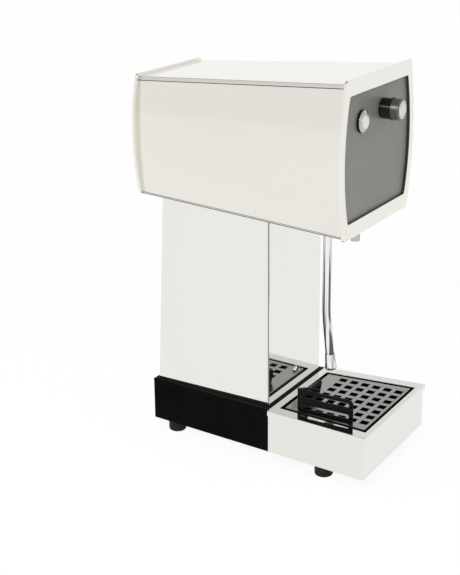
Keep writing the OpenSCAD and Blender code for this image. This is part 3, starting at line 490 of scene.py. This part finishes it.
def grilleRim(first, second):
    every = np.concatenate((first, second))
    top = every[:, 2].max() - near["line"]
    front, rear = every[:, 1].min(), every[:, 1].max()
    wide = np.abs(every[every[:, 1] < front + near["end"], 0]).max()
    narrow = np.abs(every[every[:, 1] > rear - near["end"], 0]).max()
    middle = (first + second) / 2
    half = wide + (narrow - wide) * (middle[:, 1] - front) / (rear - front)
    side = np.abs(np.abs(middle[:, 0]) - half) < near["side"]
    onRim = side | (middle[:, 1] < front + near["end"]) | (middle[:, 1] > rear - near["end"])
    high = np.maximum(first[:, 2], second[:, 2]) > top
    level = np.minimum(first[:, 2], second[:, 2]) > top
    upright = np.abs(first - second)[:, :2].max(1) < near["line"]
    return onRim & high & (level | upright)


grille = settle(joinedCopy("drip_grille"), "drip_grille")
roundChosen(grille, grilleEdge["bend"], grilleEdge["bendSteps"], grilleRim)
flatShading(roundEdges(grille, grilleEdge["hole"], grilleEdge["holeSteps"], grilleEdge["holeAngle"]))

# guide: one sheet folded at its rear corner, with rolled edges
guideEdge = {"fold": 3.2, "foldSteps": 6, "edge": 0.7, "edgeSteps": 3}


def guideFold(first, second):
    every = np.concatenate((first, second))
    middle = (first + second) / 2
    upright = np.abs(first - second)[:, :2].max(1) < near["line"]
    outside = middle[:, 0] < every[:, 0].min() + near["end"]
    return upright & outside & (middle[:, 1] > every[:, 1].max() - near["end"])


guide = settle(joinedCopy("jug_guide"), "jug_guide")
roundChosen(guide, guideEdge["fold"], guideEdge["foldSteps"], guideFold)
flatShading(roundEdges(guide, guideEdge["edge"], guideEdge["edgeSteps"]))
print("grille and guide bent")


# grid of points to a mesh: columns wrap round, and rows that meet in one point close a pole
def gridPiece(name, spots):
    rows, cols = spots.shape[:2]
    step = np.arange(cols)
    after = (step + 1) % cols
    line = np.arange(rows - 1)[:, None] * cols
    faces = np.stack((line + step, line + after, line + cols + after, line + cols + step), -1)
    mesh = bpy.data.meshes.new(name)
    mesh.from_pydata((spots.reshape(-1, 3) * mm).tolist(), [], faces.reshape(-1, 4).tolist())
    shape = bmesh.new()
    shape.from_mesh(mesh)
    bmesh.ops.remove_doubles(shape, verts=shape.verts, dist=joining["gridGap"])
    bmesh.ops.recalc_face_normals(shape, faces=shape.faces)
    shape.to_mesh(mesh)
    shape.free()
    mesh.shade_smooth()
    return flatShading(bpy.data.objects.new(name, mesh))


# each inner corner p becomes (1-s)^2 a + 2s(1-s) p + s^2 b, where a and b lie off it along its two sides
def softCorners(points, reach, steps=6):
    line = np.asarray(points, float)
    before, here, after = line[:-2], line[1:-1], line[2:]
    off = np.asarray(reach, float)[:, None]
    a = here + off * (before - here) / np.linalg.norm(before - here, axis=1, keepdims=True)
    b = here + off * (after - here) / np.linalg.norm(after - here, axis=1, keepdims=True)
    s = np.linspace(0, 1, steps)[None, :, None]
    curve = (1 - s) ** 2 * a[:, None] + 2 * s * (1 - s) * here[:, None] + s ** 2 * b[:, None]
    return np.concatenate((line[:1], curve.reshape(-1, 2), line[-1:]))


def discLine(r, start, stop, reach):  # profile of a disc of radius r, from start to stop along its axis
    return softCorners(((0, start), (r, start), (r, stop), (0, stop)), reach)


# profile of radius r and reach h, turned: x = cx + r cos t, y = cy - h, z = cz + r sin t
def turned(name, profile, centre, turns=96):
    t = np.linspace(0, 2 * np.pi, turns, endpoint=False)
    r, h = profile[:, :1], profile[:, 1:]
    x, y, z = centre[0] + r * np.cos(t), centre[1] - h + 0 * t, centre[2] + r * np.sin(t)
    return gridPiece(name, np.stack((x, y, z), -1))


# knob: black body, proud ring, steel cap with a chamfer and a ring cut in its face
knob = {"centre": (14, -119, 424.5), "start": 0.6, "bodyR": 11.7, "bodySoft": (0.8, 0.2),
        "ringAt": 12.6, "ringR": 13.0, "ringSoft": (0.45, 0.45), "capAt": 13.9, "capR": 12.0, "face": 24.4,
        "chamfer": 1.8, "grooveR": 8.2, "groove": 0.25, "capSoft": (0.3, 0.25, 0.25, 0.1, 0.1, 0.1)}
body = discLine(knob["bodyR"], knob["start"], knob["ringAt"], knob["bodySoft"])
settle(turned("knobBodyTurned", body, knob["centre"]), "knob_body")
ring = discLine(knob["ringR"], knob["ringAt"], knob["capAt"], knob["ringSoft"])
settle(turned("knobRingTurned", ring, knob["centre"]), "knob_ring")
flat, groove, inner = knob["face"], knob["groove"], knob["grooveR"]
cap = softCorners((
    (0, knob["capAt"]), (knob["capR"], knob["capAt"]), (knob["capR"], flat - knob["chamfer"]),
    (knob["capR"] - knob["chamfer"], flat), (inner + groove, flat), (inner, flat - groove),
    (inner - groove, flat), (0, flat)), knob["capSoft"])
settle(turned("knobCapTurned", cap, knob["centre"]), "knob_cap")

# button: chamfered rim and a slightly crowned cap inside it
button = {"centre": (-41, -119, 419.5), "rimAt": 2.9, "rimR": 12.2, "lip": 3.5, "top": 5.5, "topR": 9.2,
          "bore": 8.3, "rimSoft": (0.15, 0.25, 0.2, 0.2), "capAt": 4.4, "capR": 8.0, "capTop": 5.8,
          "crown": 0.16, "crownShare": 0.93, "crownSteps": 12, "shoulder": 0.05, "capSoft": (0.15, 0.3)}
rim = softCorners((
    (button["bore"], button["rimAt"]), (button["rimR"], button["rimAt"]), (button["rimR"], button["lip"]),
    (button["topR"], button["top"]), (button["bore"], button["top"]), (button["bore"], button["rimAt"])),
    button["rimSoft"])
settle(turned("buttonRimTurned", rim, button["centre"]), "button_rim")
share = np.linspace(button["crownShare"], 0, button["crownSteps"])
crown = np.stack((button["capR"] * share, button["capTop"] - button["crown"] * share ** 2), -1)
shoulder = (button["capR"], crown[0, 1] - button["shoulder"])
cap = softCorners((
    (0, button["capAt"]), (button["capR"], button["capAt"]), shoulder, crown[0]), button["capSoft"])
settle(turned("buttonCapTurned", np.concatenate((cap, crown[1:])), button["centre"]), "button_cap")
print("knob and button turned")

# wand: circle of radius r carried along a line, an arc of radius bend and a leaning line, in the plane x = 0
wand = {"r": 5.0, "y": -61.0, "corner": 176.1, "lean": 6.0, "bend": 260.0, "bendSteps": 24, "low": 52.0,
        "turns": 48}
lean = math.radians(wand["lean"])
tangent = wand["bend"] * math.tan(lean / 2)
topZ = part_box("wand_tube")[1].z / mm
swing = np.linspace(0, lean, wand["bendSteps"])
arcY = wand["y"] - wand["bend"] * (1 - np.cos(swing))
arcZ = wand["corner"] + tangent - wand["bend"] * np.sin(swing)
lowY = wand["y"] - wand["low"] * math.sin(lean)
lowZ = wand["corner"] - wand["low"] * math.cos(lean)
pathY = np.concatenate(([wand["y"]] * 2, arcY, [lowY] * 2))[:, None]  # each end twice, to close it
pathZ = np.concatenate(([topZ] * 2, arcZ, [lowZ] * 2))[:, None]
turn = np.concatenate(([0, 0], swing, [lean, lean]))[:, None]
size = np.concatenate(([0], np.full(wand["bendSteps"] + 2, wand["r"]), [0]))[:, None]
t = np.linspace(0, 2 * np.pi, wand["turns"], endpoint=False)
wandX = size * np.cos(t)
wandY = pathY + size * np.sin(t) * np.cos(turn)
wandZ = pathZ - size * np.sin(t) * np.sin(turn)
settle(gridPiece("wandTubeBent", np.stack((wandX, wandY, wandZ), -1)), "wand_tube")

barForm = {"turns": 32, "power": 0.35, "narrowFrom": 0.9}


# bar between two points: half width and height times cosine and sine to a small power, narrowed at its tip
def roundedBar(name, first, last, half, tip, finish, body):
    t = np.linspace(0, 2 * np.pi, barForm["turns"], endpoint=False)
    across = half[0] * np.sign(np.cos(t)) * np.abs(np.cos(t)) ** barForm["power"]
    upward = half[1] * np.sign(np.sin(t)) * np.abs(np.sin(t)) ** barForm["power"]
    along = np.array((0, 0, barForm["narrowFrom"], 1.0, 1.0))[:, None]
    size = np.array((0, 1, 1, tip, 0))[:, None]
    x, y, z = (start + (stop - start) * along for start, stop in zip(first, last))
    bar = gridPiece(name, np.stack((x + size * across, y + 0 * t, z + size * upward), -1))
    bar.data.materials.append(finish)
    bpy.context.scene.collection.objects.link(bar)
    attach(bar, body)


# contact blades of the mains inlet
blades = {"places": ((-32.6, 41.0), (-19.4, 41.0), (-26.0, 45.4)), "half": (1.1, 2.2), "tip": 0.6,
          "start": 137.0, "end": 149.0}
bladeSteel, inletBody = looks["plain_steel"], bodyOf["power_inlet"]
for number, (bladeX, bladeZ) in enumerate(blades["places"]):
    name = "inletBlade" + str(number + 1)
    first, last = (bladeX, blades["start"], bladeZ), (bladeX, blades["end"], bladeZ)
    roundedBar(name, first, last, blades["half"], blades["tip"], bladeSteel, inletBody)

# the hem hangs from the outer corner of the panel's foot
cut = hem["short"] * (hemRear - hemFront) / np.linalg.norm(hemRear - hemFront)
half = (hem["thick"] / 2, hem["tall"] / 2)
inset = np.array((half[0], 0, -half[1]))
for side, name in ((1, "hemLeft"), (-1, "hemRight")):
    first, last = (hemFront + cut + inset) * (side, 1, 1), (hemRear - cut + inset) * (side, 1, 1)
    roundedBar(name, first, last, half, 1.0, hemSteel, bodyOf["side_panel_left"])
print("wand bent, inlet blades and hems fitted")

# pale floor, level with the feet; camera and mirrors see it lighter than its own shade
stageFloor = {"size": 14, "color": (0.95, 0.95, 0.95), "rough": 0.85, "specular": 0.2, "glow": 0.93}
bpy.ops.mesh.primitive_plane_add(size=stageFloor["size"], location=(0, 0, 0))
floor = bpy.context.object
floor.name = "floor"


def seenRays(tree):  # one for camera, mirror and glass rays, and one for camera rays alone
    path = tree.nodes.new("ShaderNodeLightPath")
    mirror = math2(tree, "MAXIMUM", path.outputs["Is Glossy Ray"], path.outputs["Is Transmission Ray"])
    return math2(tree, "MAXIMUM", path.outputs["Is Camera Ray"], mirror), path.outputs["Is Camera Ray"]


def blendShaders(tree, share, plain, shown, output):  # shown takes the given share from plain
    mixed = tree.nodes.new("ShaderNodeMixShader")
    tree.links.new(share, mixed.inputs["Fac"])
    tree.links.new(plain, mixed.inputs[1])
    tree.links.new(shown, mixed.inputs[2])
    tree.links.new(mixed.outputs["Shader"], tree.nodes[output].inputs["Surface"])


floorMat, tree, shader = newLook(
    "paleFloor", stageFloor["color"], metallic=0.0,
    roughness=stageFloor["rough"], specular=stageFloor["specular"])
glow = tree.nodes.new("ShaderNodeEmission")
glow.inputs["Strength"].default_value = 1.0
share = math2(tree, "MULTIPLY", seenRays(tree)[0], stageFloor["glow"])
blendShaders(tree, share, shader.outputs["BSDF"], glow.outputs["Emission"], "Material Output")
floor.data.materials.append(floorMat)

# room: white to the camera, in mirrors softer from the left and darker overhead, lower on matt surfaces
room = {"matt": 0.84, "left": 0.92, "leftSpan": (-0.9, 0.2), "ceiling": 0.52, "ceilingSpan": (0.28, 0.75)}
world = bpy.data.worlds.new("whiteRoom")
bpy.context.scene.world = world
world.use_nodes = True
tree = world.node_tree
matt = tree.nodes["Background"]
matt.inputs["Color"].default_value = (1, 1, 1, 1)
matt.inputs["Strength"].default_value = room["matt"]
shown = tree.nodes.new("ShaderNodeBackground")
shown.inputs["Color"].default_value = (1, 1, 1, 1)
seen, cameraRay = seenRays(tree)
way = split3(tree, tree.nodes.new("ShaderNodeTexCoord").outputs["Generated"])
fromLeft = span(tree, way["X"], room["left"], 1.0, *room["leftSpan"])
overhead = span(tree, way["Z"], 1.0, room["ceiling"], *room["ceilingSpan"])
mirrored = math2(tree, "MULTIPLY", fromLeft, overhead)
tree.links.new(math2(tree, "MAXIMUM", mirrored, cameraRay), shown.inputs["Strength"])
blendShaders(tree, seen, matt.outputs["Background"], shown.outputs["Background"], "World Output")

# one soft box at the left, for the light bands on the knob
lampAt = {"watts": 20.0, "size": (0.6, 0.35), "place": (-1.66, -0.20, 1.34), "aim": (0, 0, 0.40)}
lamp = bpy.data.lights.new("softBox", "AREA")
lamp.shape = "RECTANGLE"
lamp.size, lamp.size_y = lampAt["size"]
lamp.energy = lampAt["watts"]
softBox = bpy.data.objects.new("softBox", lamp)
softBox.location = lampAt["place"]
softBox.rotation_euler = (Vector(lampAt["aim"]) - softBox.location).to_track_quat("-Z", "Y").to_euler()
bpy.context.scene.collection.objects.link(softBox)
print("floor, room and lamp set")
